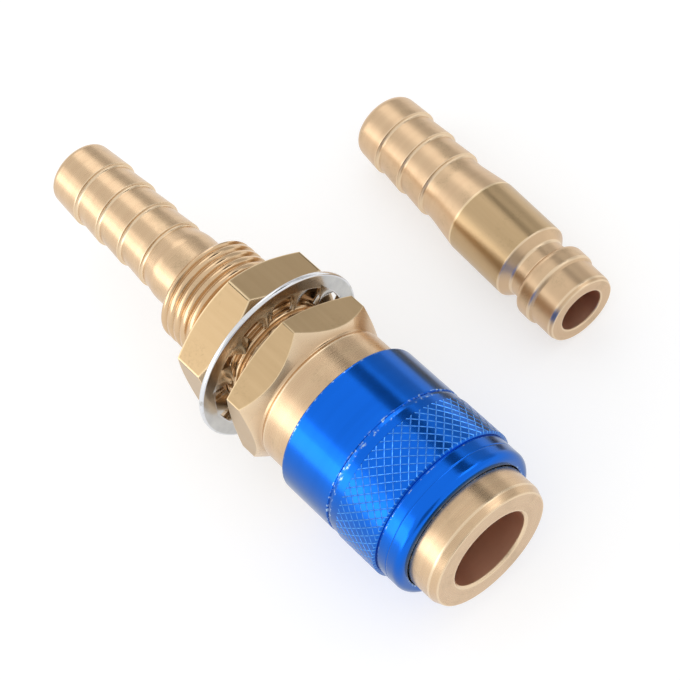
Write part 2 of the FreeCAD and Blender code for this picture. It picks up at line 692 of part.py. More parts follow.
# Valve guide: rim clamped between the two bodies, hub bored for the stem, and open arms.
guide_rim_radius = f"({spigot_radius} - Sizes.stem_running_gap)"
guide_rim_inner = f"({guide_rim_radius} - Sizes.guide_rim_width)"
guide_rim = turned_body(
    "GuideRim",
    [
        (counterbore_floor, guide_rim_inner),
        (counterbore_floor, guide_rim_radius),
        (spigot_rear, guide_rim_radius),
        (spigot_rear, guide_rim_inner),
    ],
)
guide_hub = doc.addObject("Part::Cylinder", "GuideHub")
bind(guide_hub, Radius=guide_hub_radius, Height=size("guide_thickness"))
lay_along_x(guide_hub, counterbore_floor)
guide_parts = [guide_rim, guide_hub]
arm_count = int(value(size("guide_arm_count")))
arm_corner = Vector(0, -value("Sizes.guide_arm_width / 2"), 0)
for index in range(arm_count):
    arm = doc.addObject("Part::Box", f"GuideArm{index + 1}")
    bind(
        arm,
        Length=f"{guide_rim_radius} - Sizes.guide_rim_width / 2",
        Width=size("guide_arm_width"),
        Height=size("guide_thickness"),
    )
    lay_along_x(arm, counterbore_floor, 360 * index / arm_count, arm_corner)
    guide_parts.append(arm)
guide_blank = doc.addObject("Part::MultiFuse", "GuideBlank")
guide_blank.Shapes = guide_parts
guide_bore = doc.addObject("Part::Cylinder", "GuideBore")
bind(
    guide_bore,
    Radius="Sizes.poppet_stem_radius + Sizes.stem_running_gap",
    Height=size("guide_thickness"),
)
lay_along_x(guide_bore, counterbore_floor)
valve_guide = doc.addObject("Part::Cut", "ValveGuide")
valve_guide.Label = "valve_guide"
valve_guide.Base = guide_blank
valve_guide.Tool = guide_bore

nose_seal = ring_seal(
    "NoseSeal",
    "nose_seal",
    nose_seal_station,
    nose_seal_radius,
    size("nose_seal_cord_radius"),
)
body_seal = ring_seal(
    "BodySeal",
    "body_seal",
    body_seal_station,
    f"({spigot_radius} + Sizes.body_seal_cord_radius + Sizes.seal_gap)",
    size("body_seal_cord_radius"),
)

# Plug: one turned piece with its nose face at its own x = 0 and its hose tail towards -X. It
# lies beside the socket, on the surface that the lock washer's rim rests on.
ring_round_depth = f"({plug_ring_radius} - {plug_groove_radius})"
ring_round_radius = f"((Sizes.plug_ring_back_length^2 + {ring_round_depth}^2) / (2 * {ring_round_depth}))"
plug_outline = [
    ("0", size("bore_radius")),
    ("0", f"({plug_nose_radius} - Sizes.plug_nose_chamfer_depth)"),
    ("(-Sizes.plug_nose_chamfer_length)", plug_nose_radius),
    (ring_front, plug_nose_radius),
    (ring_crest_front, plug_ring_radius),
    (ring_crest_rear, plug_ring_radius, ring_round_radius, LEFT),
    (groove_front, plug_groove_radius),
    (groove_back, plug_groove_radius),
    (shoulder_rear, plug_shoulder_radius),
    (body_front, plug_body_radius),
    (body_rear, plug_body_radius),
    (cone_rear, plug_neck_radius),
]
plug_outline += barbs(plug_tail, int(value(size("plug_barb_count"))))
plug = turned_body("Plug", plug_outline)
plug.Label = "plug"
plug.Placement = Placement(Vector(0, 0, 0), Rotation(Vector(0, 0, 1), value(size("plug_yaw"))))
plug.setExpression("Placement.Base.x", size("plug_face_x"))
plug.setExpression("Placement.Base.y", size("plug_side_distance"))
plug.setExpression("Placement.Base.z", f"{plug_body_radius} - Sizes.washer_outer_radius")

doc.recompute()

SUBPARTS = [
    rear_body,
    nose_body,
    mounting_nut,
    lock_washer,
    sleeve,
    sleeve_spring,
    valve_poppet,
    poppet_seal,
    valve_spring,
    valve_guide,
    nose_seal,
    body_seal,
    plug,
]
SUBPARTS += balls

for feature in doc.Objects:
    if "Invalid" in feature.State or "Error" in feature.State:
        raise RuntimeError(f"{feature.Name} failed: {feature.State}")
for subpart in SUBPARTS:
    if subpart.Shape.isNull() or not subpart.Shape.isValid():
        raise RuntimeError(f"{subpart.Label} has no valid shape")

os.makedirs("parts", exist_ok=True)
for subpart in SUBPARTS:
    subpart.Shape.exportStep(f"parts/{subpart.Label}.step")
    print(subpart.Label, len(subpart.Shape.Solids), round(subpart.Shape.Volume, 2))
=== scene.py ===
import math

import bmesh
import bpy
from mathutils import Matrix, Vector


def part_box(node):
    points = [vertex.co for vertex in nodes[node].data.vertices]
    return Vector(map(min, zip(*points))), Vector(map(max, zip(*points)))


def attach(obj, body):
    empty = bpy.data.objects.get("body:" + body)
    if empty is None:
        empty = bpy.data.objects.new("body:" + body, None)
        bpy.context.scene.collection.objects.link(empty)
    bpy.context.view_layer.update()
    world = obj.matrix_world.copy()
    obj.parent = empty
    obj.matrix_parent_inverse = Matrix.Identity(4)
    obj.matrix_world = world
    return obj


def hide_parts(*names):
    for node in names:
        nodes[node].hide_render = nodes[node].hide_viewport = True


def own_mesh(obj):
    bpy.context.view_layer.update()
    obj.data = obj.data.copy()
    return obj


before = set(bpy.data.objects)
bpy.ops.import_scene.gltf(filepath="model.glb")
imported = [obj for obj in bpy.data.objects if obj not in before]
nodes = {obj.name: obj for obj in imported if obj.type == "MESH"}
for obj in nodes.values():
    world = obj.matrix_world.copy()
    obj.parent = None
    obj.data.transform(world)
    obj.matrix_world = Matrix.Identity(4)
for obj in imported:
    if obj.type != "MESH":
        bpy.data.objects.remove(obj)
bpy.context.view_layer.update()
print("frame loaded")

# Pieces are modelled in millimetres about the X axis, the socket's own, and scaled to metres when finished.
mm = 0.001
turnSteps, fineTurnSteps = 160, 192
smallRound, smallRoundSteps, wideRoundSteps = 0.5, 3, 8  # a rounding below the first counts as a worn edge
supportWidth, supportRoom = 0.14, 2.6
cutTolerance = 1e-5
boreSkin = 0.1  # how far beside a bore or an edge a face still counts as part of it
edgeName = "edge"  # 1 along a rounded edge, 0 beside it
noiseLow, noiseHigh = 0.3, 0.7  # most of a noise lies between these


# shared modelling

def startShape():
    shape = bmesh.new()
    shape.verts.layers.float.new(edgeName)
    return shape


def drawOutline(shape, outline, closed=True):
    edgeValue = shape.verts.layers.float[edgeName]
    corners = [shape.verts.new((point[0], 0, point[1])) for point in outline]
    pairs = list(zip(corners, corners[1:]))
    if closed:
        pairs.append((corners[-1], corners[0]))
    for start, end in pairs:
        shape.edges.new((start, end))
    for corner, point in zip(corners, outline):
        if len(point) < 3:
            continue
        small = point[2] < smallRound
        worn = point[3] if len(point) > 3 else 1.0
        made = bmesh.ops.bevel(
            shape, geom=[corner], offset=point[2], offset_type="OFFSET",
            segments=smallRoundSteps if small else wideRoundSteps,
            profile=0.5, affect="VERTICES", clamp_overlap=True, material=-1)
        for vert in made["verts"]:
            vert[edgeValue] = worn if small else 0.0
    # a line close beside each corner keeps the long faces flat in the shading
    for vert in list(shape.verts):
        for line in list(vert.link_edges):
            length = line.calc_length()
            if length > supportRoom * supportWidth:
                added = bmesh.utils.edge_split(line, vert, supportWidth / length)[1]
                added[edgeValue] = 0.0


def turn(outline, steps=turnSteps):
    shape = startShape()
    drawOutline(shape, outline)
    bmesh.ops.spin(
        shape, geom=shape.verts[:] + shape.edges[:], cent=(0, 0, 0), axis=(1, 0, 0), dvec=(0, 0, 0),
        angle=2 * math.pi, steps=steps, use_merge=True)
    bmesh.ops.recalc_face_normals(shape, faces=shape.faces)
    return shape


def allParts(shape):
    return shape.verts[:] + shape.edges[:] + shape.faces[:]


hexagon = {"sides": 6, "roundSteps": 2, "smallestFlat": 10, "flatInset": 0.2}


def cutHexagon(shape, acrossFlats, roll, edgeRound):
    v = hexagon
    edgeValue = shape.verts.layers.float[edgeName]
    turnEach = 360 / v["sides"]
    for side in range(v["sides"]):
        angle = math.radians(roll + turnEach / 2 + turnEach * side)
        facing = Matrix.Rotation(angle, 3, "X") @ Vector((0, 0, 1))
        cut = bmesh.ops.bisect_plane(
            shape, geom=allParts(shape), dist=cutTolerance, plane_co=facing * acrossFlats / 2,
            plane_no=facing, clear_outer=True)
        rim = [part for part in cut["geom_cut"] if isinstance(part, bmesh.types.BMEdge)]
        for face in bmesh.ops.edgeloop_fill(shape, edges=rim)["faces"]:
            face.material_index = 1
    rims = [edge for edge in shape.edges if any(face.material_index == 1 for face in edge.link_faces)]
    made = bmesh.ops.bevel(
        shape, geom=rims, offset=edgeRound, offset_type="OFFSET", segments=v["roundSteps"], profile=0.5,
        affect="EDGES", clamp_overlap=True, material=-1)
    for vert in made["verts"]:
        vert[edgeValue] = 1.0
    flats = [
        face for face in shape.faces if face.material_index == 1 and face.calc_area() > v["smallestFlat"]]
    bmesh.ops.inset_individual(shape, faces=flats, thickness=v["flatInset"], depth=0, use_even_offset=True)
    for face in flats:
        for vert in face.verts:
            vert[edgeValue] = 0.0


def finishPiece(
        shape, name, body, materials, stands=(), sharpAngle=40, place=None, weighted=False):
    if place:
        bmesh.ops.transform(shape, matrix=place, verts=shape.verts)
    bmesh.ops.scale(shape, vec=(mm, mm, mm), verts=shape.verts)
    for face in shape.faces:
        face.smooth = True
    mesh = bpy.data.meshes.new(name)
    shape.to_mesh(mesh)
    shape.free()
    mesh.set_sharp_from_angle(angle=math.radians(sharpAngle))
    for material in materials:
        mesh.materials.append(material)
    piece = bpy.data.objects.new(name, mesh)
    bpy.context.scene.collection.objects.link(piece)
    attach(piece, body)
    if stands:
        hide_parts(*stands)
    if weighted:  # wide faces keep their own shading beside narrow rounded edges
        normals = piece.modifiers.new("faceNormals", "WEIGHTED_NORMAL")
        normals.keep_sharp = True
    print("made", name, len(mesh.polygons), "faces")
    return piece


# shared shading

def addNode(tree, kind, inputs=None, **settings):
    made = tree.nodes.new("ShaderNode" + kind)
    for name, setting in settings.items():
        setattr(made, name, setting)
    for name, source in (inputs or {}).items():
        if isinstance(source, bpy.types.NodeSocket):
            tree.links.new(source, made.inputs[name])
        else:
            made.inputs[name].default_value = source
    return made


def blendColours(tree, factor, low, high):
    mix = addNode(tree, "Mix", data_type="RGBA")
    for index, source in ((0, factor), (6, low), (7, high)):
        if isinstance(source, bpy.types.NodeSocket):
            tree.links.new(source, mix.inputs[index])
        else:
            mix.inputs[index].default_value = source
    return mix.outputs[2]


def remap(tree, source, toLow=0.0, toHigh=1.0, low=noiseLow, high=noiseHigh):
    return addNode(tree, "MapRange", {
        "Value": source, "From Min": low, "From Max": high, "To Min": toLow, "To Max": toHigh}).outputs[0]


def compute(tree, operation, *values):
    return addNode(tree, "Math", dict(enumerate(values)), operation=operation).outputs[0]


def divide(tree, vector, size):
    return addNode(tree, "VectorMath", {0: vector, 1: size}, operation="DIVIDE").outputs[0]


def addNoise(tree, vector, scale, detail, roughness=0.5):
    return addNode(tree, "TexNoise", {
        "Vector": vector, "Scale": scale, "Detail": detail, "Roughness": roughness}).outputs[0]


def tint(tree, colour, mask, amount, target):
    return blendColours(tree, compute(tree, "MULTIPLY", mask, amount), colour, target)


def startGroup(name, inputs, outputs):
    tree = bpy.data.node_groups.new(name, "ShaderNodeTree")
    for label, kind, start in inputs:
        socket = tree.interface.new_socket(label, in_out="INPUT", socket_type="NodeSocket" + kind)
        if start is not None:
            socket.default_value = start
    for label, kind in outputs:
        tree.interface.new_socket(label, in_out="OUTPUT", socket_type="NodeSocket" + kind)
    return tree, tree.nodes.new("NodeGroupInput").outputs, tree.nodes.new("NodeGroupOutput").inputs


def makeTurningMarks():
    v = {"lineScale": 1.0, "lineDetail": 2.0, "bandScale": 0.12, "bandDetail": 3.0}
    tree, given, wanted = startGroup(
        "turningMarks", [("Vector", "Vector", None), ("Spacing", "Float", 0.0002)],
        [("Lines", "Float"), ("Bands", "Float")])
    parts = addNode(tree, "SeparateXYZ", {"Vector": given["Vector"]}).outputs
    across = addNode(tree, "CombineXYZ", {"Y": parts["Y"], "Z": parts["Z"]}).outputs[0]
    radius = addNode(tree, "VectorMath", {0: across}, operation="LENGTH").outputs["Value"]
    count = compute(tree, "DIVIDE", compute(tree, "ADD", parts["X"], radius), given["Spacing"])
    for label, scale, detail in (
            ("Lines", v["lineScale"], v["lineDetail"]), ("Bands", v["bandScale"], v["bandDetail"])):
        noise = addNode(
            tree, "TexNoise", {"W": count, "Scale": scale, "Detail": detail}, noise_dimensions="1D")
        tree.links.new(noise.outputs[0], wanted[label])
    return tree


def makeHandling():
    v = {
        "broadScale": 1.0, "broadDetail": 3.0, "broadRough": 0.6, "fineScale": 14.0, "fineDetail": 2.0,
        "fineRough": 0.7, "patchTop": 0.85, "patchWidth": 0.2, "speckLow": 0.5, "speckHigh": 0.68,
    }
    tree, given, wanted = startGroup(
        "handlingMarks", [("Vector", "Vector", None), ("Size", "Float", 0.004), ("Amount", "Float", 0.5)],
        [("Patches", "Float"), ("Specks", "Float")])
    scaled = divide(tree, given["Vector"], given["Size"])
    broad = addNoise(tree, scaled, v["broadScale"], v["broadDetail"], v["broadRough"])
    fine = addNoise(tree, scaled, v["fineScale"], v["fineDetail"], v["fineRough"])
    start = compute(tree, "SUBTRACT", v["patchTop"], given["Amount"])
    patches = remap(tree, broad, low=start, high=compute(tree, "ADD", start, v["patchWidth"]))
    specks = remap(tree, fine, low=v["speckLow"], high=v["speckHigh"])
    tree.links.new(patches, wanted["Patches"])
    tree.links.new(compute(tree, "MULTIPLY", patches, specks), wanted["Specks"])
    return tree


def makeEdgeWear():
    v = {"scale": 1.0, "detail": 4.0, "rough": 0.65, "top": 0.8, "width": 0.12}
    tree, given, wanted = startGroup(
        "edgeWear", [("Vector", "Vector", None), ("Size", "Float", 0.0015), ("Amount", "Float", 0.5)],
        [("Mask", "Float")])
    edge = addNode(tree, "Attribute", attribute_name=edgeName).outputs["Fac"]
    rubbed = addNoise(tree, divide(tree, given["Vector"], given["Size"]), v["scale"], v["detail"], v["rough"])
    start = compute(tree, "SUBTRACT", v["top"], given["Amount"])
    broken = remap(tree, rubbed, low=start, high=compute(tree, "ADD", start, v["width"]))
    tree.links.new(compute(tree, "MULTIPLY", edge, broken), wanted["Mask"])
    return tree


def useGroup(tree, group, inputs):
    return addNode(tree, "Group", inputs, node_tree=group).outputs


def startMaterial(name, centre=(0, 0, 0), turned=0.0, **shaderValues):
    material = bpy.data.materials.new(name)
    material.use_nodes = True
    tree = material.node_tree
    shader = tree.nodes["Principled BSDF"]
    for label, number in shaderValues.items():
        shader.inputs[label].default_value = number
    place = addNode(tree, "TexCoord").outputs["Object"]
    if any(centre) or turned:
        place = addNode(
            tree, "Mapping", {"Vector": place, "Location": centre, "Rotation": (0, 0, turned)},
            vector_type="TEXTURE").outputs[0]
    return material, tree, shader, place


def addBump(tree, shader, height, strength, distance):
    bump = addNode(tree, "Bump", {"Height": height, "Strength": strength, "Distance": distance})
    tree.links.new(bump.outputs[0], shader.inputs["Normal"])


turningMarks = makeTurningMarks()
handlingMarks = makeHandling()
edgeWear = makeEdgeWear()


def makeTurnedBrass(name, look, centre=(0, 0, 0), turned=0.0):
    material, tree, shader, place = startMaterial(name, centre, turned, Metallic=1.0)
    marks = useGroup(tree, turningMarks, {"Vector": place, "Spacing": look["lineSpacing"]})
    handled = useGroup(tree, handlingMarks, {
        "Vector": place, "Size": look["patchSize"], "Amount": look["patchAmount"]})
    worn = useGroup(tree, edgeWear, {"Vector": place, "Amount": look["edgeAmount"]})["Mask"]
    colour = blendColours(tree, remap(tree, marks["Bands"]), look["shade"], look["colour"])
    colour = tint(tree, colour, handled["Patches"], look["patchTint"], look["patchColour"])
    colour = tint(tree, colour, handled["Specks"], look["speckTint"], look["speckColour"])
    colour = blendColours(tree, worn, colour, look["edgeColour"])
    tree.links.new(colour, shader.inputs["Base Color"])
    rough = remap(
        tree, marks["Lines"], look["roughness"] - look["roughSpread"],
        look["roughness"] + look["roughSpread"])
    rough = compute(tree, "MULTIPLY_ADD", handled["Patches"], look["patchRough"], rough)
    tree.links.new(rough, shader.inputs["Roughness"])
    addBump(tree, shader, marks["Lines"], look["bump"], look["bumpDepth"])
    return material


def makeDrawnBrass(name, look, centre=(0, 0, 0), turned=0.0):
    material, tree, shader, place = startMaterial(name, centre, turned, Metallic=1.0)
    streaked = addNode(tree, "VectorMath", {0: place, 1: look["stretch"]}, operation="MULTIPLY").outputs[0]
    streaks = addNoise(tree, streaked, look["streakScale"], look["streakDetail"])
    handled = useGroup(tree, handlingMarks, {
        "Vector": place, "Size": look["patchSize"], "Amount": look["patchAmount"]})
    worn = useGroup(tree, edgeWear, {"Vector": place, "Amount": look["edgeAmount"]})["Mask"]
    colour = blendColours(tree, remap(tree, streaks), look["shade"], look["colour"])
    colour = tint(tree, colour, handled["Specks"], look["speckTint"], look["speckColour"])
    colour = blendColours(tree, worn, colour, look["edgeColour"])
    tree.links.new(colour, shader.inputs["Base Color"])
    rough = remap(
        tree, streaks, look["roughness"] - look["roughSpread"], look["roughness"] + look["roughSpread"])
    tree.links.new(rough, shader.inputs["Roughness"])
    addBump(tree, shader, streaks, look["bump"], look["bumpDepth"])
    return material


brassLook = {
    "colour": (0.67, 0.48, 0.3, 1), "shade": (0.64, 0.45, 0.28, 1), "roughness": 0.27,
    "lineSpacing": 0.00016, "bump": 0.03, "patchSize": 0.004, "patchAmount": 0.33, "patchTint": 0.25,
    "patchColour": (0.44, 0.33, 0.2, 1), "speckTint": 0.4, "speckColour": (0.28, 0.21, 0.12, 1),
    "edgeAmount": 0.62, "edgeColour": (0.8, 0.62, 0.42, 1), "roughSpread": 0.04, "patchRough": 0.05,
    "bumpDepth": 0.00004,
}
barLook = {
    "colour": (0.55, 0.39, 0.22, 1), "shade": (0.52, 0.365, 0.2, 1), "roughness": 0.31, "bump": 0.025,
    "patchSize": 0.006, "patchAmount": 0.34, "speckTint": 0.35, "speckColour": (0.28, 0.2, 0.1, 1),
    "edgeAmount": 0.55, "edgeColour": (0.8, 0.62, 0.38, 1), "roughSpread": 0.03, "bumpDepth": 0.00005,
    "stretch": (60, 1100, 1100), "streakScale": 1.0, "streakDetail": 2.0,
}
# the plug lies turned, so its patterns are centred and turned with it
plugPlace = {"face": (20.2, 37.8, -8.3), "yaw": -3.7}
plugCentre = [number * mm for number in plugPlace["face"]]
plugTurn = math.radians(plugPlace["yaw"])

turnedBrass = makeTurnedBrass("turnedBrass", brassLook)
threadBrass = makeTurnedBrass("threadBrass", {
    **brassLook, "colour": (0.66, 0.45, 0.26, 1), "shade": (0.62, 0.42, 0.24, 1), "roughness": 0.17,
})
plugBrass = makeTurnedBrass("plugBrass", {**brassLook, "roughness": 0.33}, plugCentre, plugTurn)
barBrass = makeDrawnBrass("barBrass", barLook)
plugDrawn = makeDrawnBrass("plugDrawn", barLook, plugCentre, plugTurn)
valveBrass = makeTurnedBrass("valveBrass", {**brassLook, "colour": (0.56, 0.38, 0.2, 1), "roughness": 0.3})
# the bores get a lighter, redder copy of the brass, a painted light inside the recesses
borePaintedLightLook = {
    **brassLook, "colour": (0.8, 0.5, 0.36, 1), "shade": (0.77, 0.47, 0.33, 1), "roughness": 0.45,
    "bump": 0.02, "speckTint": 0.1, "patchColour": (0.7, 0.43, 0.3, 1), "lineSpacing": 0.0004,
}
boreBrassPaintedLight = makeTurnedBrass("boreBrassPaintedLight", borePaintedLightLook)
plugBorePaintedLight = makeTurnedBrass("plugBorePaintedLight", borePaintedLightLook, plugCentre, plugTurn)


zincLook = {
    "colour": (0.62, 0.62, 0.6, 1), "shade": (0.53, 0.53, 0.52, 1), "rubbed": (0.76, 0.77, 0.79, 1),
    "mottleScale": 420.0, "mottleDetail": 3.0, "mottleLow": 0.35, "mottleHigh": 0.65, "grainScale": 2200.0,
    "grainDetail": 2.0, "edgeAmount": 0.5, "smooth": 0.16, "rough": 0.22, "bump": 0.04, "bumpDepth": 0.00005,
}
# the deep blue of the anodised parts is a painted shade where they are seen at a slant
anodisedLook = {
    "colour": (0.009, 0.15, 0.8, 1), "shade": (0.008, 0.138, 0.75, 1), "bare": (0.45, 0.62, 0.8, 1),
    # the line colour is a painted highlight along the knurl's lines
    "line": (0.18, 0.52, 1.0, 1), "paintedSlantShade": (0.012, 0.105, 0.34, 1), "slantBlend": 0.5, "slantLow": 0.16,
    "slantHigh": 0.75, "lineSpacing": 0.0003, "patchSize": 0.006, "patchAmount": 0.3, "chipSize": 0.0007,
    "roughness": 0.2, "patchRough": 0.025, "bump": 0.06, "bumpDepth": 0.00003,
}
steelLook = {
    "mottleScale": 900.0, "mottleDetail": 4.0, "shade": (0.8, 0.8, 0.82), "roughSpread": 0.1, "bump": 0.1,
    "bumpDepth": 0.00003,
}
rubberLook = {
    "colour": (0.03, 0.03, 0.032, 1), "shade": (0.012, 0.012, 0.013, 1), "skinScale": 1600.0,
    "skinDetail": 4.0, "smooth": 0.45, "rough": 0.65, "bump": 0.2, "bumpDepth": 0.00004,
}


def makeZinc():
    look = zincLook
    material, tree, shader, place = startMaterial("zincPlate", Metallic=1.0)
    mottle = addNoise(tree, place, look["mottleScale"], look["mottleDetail"])
    grain = addNoise(tree, place, look["grainScale"], look["grainDetail"])
    worn = useGroup(tree, edgeWear, {"Vector": place, "Amount": look["edgeAmount"]})["Mask"]
    tone = remap(tree, mottle, low=look["mottleLow"], high=look["mottleHigh"])
    colour = blendColours(tree, tone, look["shade"], look["colour"])
    tree.links.new(blendColours(tree, worn, colour, look["rubbed"]), shader.inputs["Base Color"])
    tree.links.new(remap(tree, mottle, look["smooth"], look["rough"]), shader.inputs["Roughness"])
    addBump(tree, shader, grain, look["bump"], look["bumpDepth"])
    return material


def makeAnodised(name, chips=0.0, lines=0.0):
    look = anodisedLook
    material, tree, shader, place = startMaterial(name, Metallic=1.0)
    marks = useGroup(tree, turningMarks, {"Vector": place, "Spacing": look["lineSpacing"]})
    handled = useGroup(tree, handlingMarks, {
        "Vector": place, "Size": look["patchSize"], "Amount": look["patchAmount"]})
    colour = blendColours(tree, remap(tree, marks["Bands"]), look["shade"], look["colour"])
    # painted shade: the colour darkens towards a deep blue where the surface is seen at a slant from the
    # camera
    slant = addNode(tree, "LayerWeight", {"Blend": look["slantBlend"]}).outputs["Facing"]
    slant = remap(tree, slant, low=look["slantLow"], high=look["slantHigh"])
    colour = blendColours(tree, slant, colour, look["paintedSlantShade"])
    if lines:  # the knurl's lines are painted lighter: a painted highlight where their walls catch the light
        cut = addNode(tree, "Attribute", attribute_name=edgeName).outputs["Fac"]
        colour = tint(tree, colour, cut, lines, look["line"])
    else:
        worn = useGroup(tree, edgeWear, {"Vector": place, "Size": look["chipSize"], "Amount": chips})["Mask"]
        colour = blendColours(tree, worn, colour, look["bare"])
    tree.links.new(colour, shader.inputs["Base Color"])
    rough = compute(tree, "MULTIPLY_ADD", handled["Patches"], look["patchRough"], look["roughness"])
    tree.links.new(rough, shader.inputs["Roughness"])
    addBump(tree, shader, marks["Lines"], look["bump"], look["bumpDepth"])
    return material


def makeSteel(name, colour, roughness):
    look = steelLook
    material, tree, shader, place = startMaterial(name, Metallic=1.0)
    mottle = addNoise(tree, place, look["mottleScale"], look["mottleDetail"])
    shade = [part * amount for part, amount in zip(colour, look["shade"])] + [1]
    tree.links.new(blendColours(tree, remap(tree, mottle), shade, colour), shader.inputs["Base Color"])
    rough = remap(tree, mottle, roughness, roughness + look["roughSpread"])
    tree.links.new(rough, shader.inputs["Roughness"])
    addBump(tree, shader, mottle, look["bump"], look["bumpDepth"])
    return material


def makeRubber():
    look = rubberLook
    material, tree, shader, place = startMaterial("sealRubber", Metallic=0.0)
    skin = addNoise(tree, place, look["skinScale"], look["skinDetail"])
    colour = blendColours(tree, remap(tree, skin), look["shade"], look["colour"])
    tree.links.new(colour, shader.inputs["Base Color"])
    tree.links.new(remap(tree, skin, look["smooth"], look["rough"]), shader.inputs["Roughness"])
    addBump(tree, shader, skin, look["bump"], look["bumpDepth"])
    return material


zincPlate = makeZinc()
blueAnodised = makeAnodised("blueAnodised", chips=0.26)
# the knurl's lines carry a painted highlight
blueKnurled = makeAnodised("blueKnurled", lines=1.0)
springSteel = makeSteel("springSteel", (0.55, 0.55, 0.57, 1), 0.25)
ballSteel = makeSteel("ballSteel", (0.75, 0.75, 0.77, 1), 0.08)
sealRubber = makeRubber()
print("materials made")


# rear body: hose tail, hexagon and neck

rear = {
    "bore": 3.75, "tip": -52.1, "tipRadius": 5.5, "tipRound": 1.0,
    "barbStep": -29.3, "barbPitch": 5.4, "barbCount": 4, "barbRoot": 5.5, "barbCrest": 6.0,
    "crestRound": 0.1, "rootRound": 0.4, "boreRound": 0.2, "neckRound": 0.2, "coneRound": 0.6,
    "tailNeck": 6.2, "tailNeckFront": -20.5, "coneFront": -26.1, "core": 7.8,
    "hexCorner": 14.156, "hexRear": 0.3, "hexFaceRear": -0.4, "hexFace": 12.0, "hexCornerFront": 2.55,
    "neck": 11.6, "neckRear": 6.3, "cove": 5.7, "coveFloor": 11.1, "coveRound": 0.5,
    "neckFront": 15.5, "edgeRound": 0.3, "spigot": 8.5, "chamber": 7.0, "counterbore": 5.2,
    "chamberRear": 3.25, "acrossFlats": 24.0, "hexRoll": -4.0, "hexEdge": 0.1,
}


def barbOutline(values, firstStep, count, tip):
    points = []
    for index in range(count):
        step = firstStep - index * values["barbPitch"]
        points.append((step, values["barbRoot"], values["rootRound"]))
        points.append((step, values["barbCrest"], values["crestRound"]))
    points.append((tip, values["tipRadius"], values["tipRound"]))
    points.append((tip, values["bore"], values["boreRound"]))
    return points


def makeRearBody():
    v = rear
    outline = [
        (v["neckFront"], v["spigot"]),
        (v["neckFront"], v["neck"], v["edgeRound"]),
        (v["neckRear"], v["neck"], v["neckRound"]),
        (v["cove"], v["coveFloor"], v["coveRound"]),
        (v["hexCornerFront"], v["hexCorner"]),
        (v["hexRear"], v["hexCorner"]),
        (v["hexFaceRear"], v["hexFace"]),
        (v["hexFaceRear"], v["core"]),
        (v["tailNeckFront"], v["core"]),
        (v["tailNeckFront"], v["tailNeck"]),
        (v["coneFront"], v["tailNeck"], v["coneRound"]),
    ]
    outline += barbOutline(v, v["barbStep"], v["barbCount"], v["tip"])
    outline += [
        (0, v["bore"]),
        (v["chamberRear"], v["chamber"]),
        (v["counterbore"], v["chamber"]),
        (v["counterbore"], v["spigot"]),
    ]
    shape = turn(outline, fineTurnSteps)
    cutHexagon(shape, v["acrossFlats"], v["hexRoll"], v["hexEdge"])
    return finishPiece(
        shape, "rearBodyTurned", "root", [turnedBrass, barBrass], ["rear_body"],
        weighted=True)


makeRearBody()


# panel thread

thread = {
    "major": 9.0, "minor": 8.5, "pitch": 1.5, "crest": 0.7, "root": 0.12, "front": -0.3, "rear": -20.7,
    "crestRound": 0.24, "rootRound": 0.05, "crestWear": 0.25, "steps": 120, "inner": 5.6, "mergeGap": 0.01,
    "sharpAngle": 50,
}


def makeThread():
    v = thread
    shape = startShape()
    flank = (v["pitch"] - v["crest"] - v["root"]) / 2
    turns = math.ceil((v["front"] - v["rear"]) / v["pitch"]) + 1
    start = v["rear"] - v["pitch"]
    outline = []
    for index in range(turns):
        x = start + index * v["pitch"]
        outline += [
            (x, v["major"], v["crestRound"], v["crestWear"]),
            (x + v["crest"], v["major"], v["crestRound"], v["crestWear"]),
            (x + v["crest"] + flank, v["minor"], v["rootRound"], 0.0),
            (x + v["crest"] + flank + v["root"], v["minor"], v["rootRound"], 0.0)]
    outline.append((start + turns * v["pitch"], v["major"]))
    drawOutline(shape, outline, closed=False)
    bmesh.ops.spin(
        shape, geom=shape.verts[:] + shape.edges[:], cent=(0, 0, 0), axis=(1, 0, 0),
        dvec=(v["pitch"] / v["steps"], 0, 0), angle=2 * math.pi, steps=v["steps"])
    bmesh.ops.remove_doubles(shape, verts=shape.verts, dist=v["mergeGap"])
    ends = []
    for station, facing in ((v["rear"], -1), (v["front"], 1)):
        cut = bmesh.ops.bisect_plane(
            shape, geom=allParts(shape), dist=cutTolerance,
            plane_co=(station, 0, 0), plane_no=(facing, 0, 0), clear_outer=True)
        ends.append([part for part in cut["geom_cut"] if isinstance(part, bmesh.types.BMEdge)])
    # the first turn runs out on the starting chamfer
    for vert in shape.verts:
        radius = math.hypot(vert.co.y, vert.co.z)
        allowed = v["minor"] + vert.co.x - v["rear"]
        if radius > allowed:
            vert.co.y *= allowed / radius
            vert.co.z *= allowed / radius
    rims = []
    for rim in ends:
        made = bmesh.ops.extrude_edge_only(shape, edges=rim)["geom"]
        for vert in (part for part in made if isinstance(part, bmesh.types.BMVert)):
            radius = math.hypot(vert.co.y, vert.co.z)
            vert.co.y *= v["inner"] / radius
            vert.co.z *= v["inner"] / radius
        rims += [part for part in made if isinstance(part, bmesh.types.BMEdge)]
    bmesh.ops.bridge_loops(shape, edges=rims)
    bmesh.ops.recalc_face_normals(shape, faces=shape.faces)
    return finishPiece(
        shape, "panelThread", "root", [threadBrass], sharpAngle=v["sharpAngle"])


makeThread()


# panel nut

nut = {
    "rear": -11.71, "front": -4.896, "bore": 9.05, "boreRound": 0.3, "face": 11.6, "corner": 14.156,
    "faceRound": 0.08, "chamfer": 1.17, "acrossFlats": 24.0, "roll": -0.4, "edgeRound": 0.1,
}


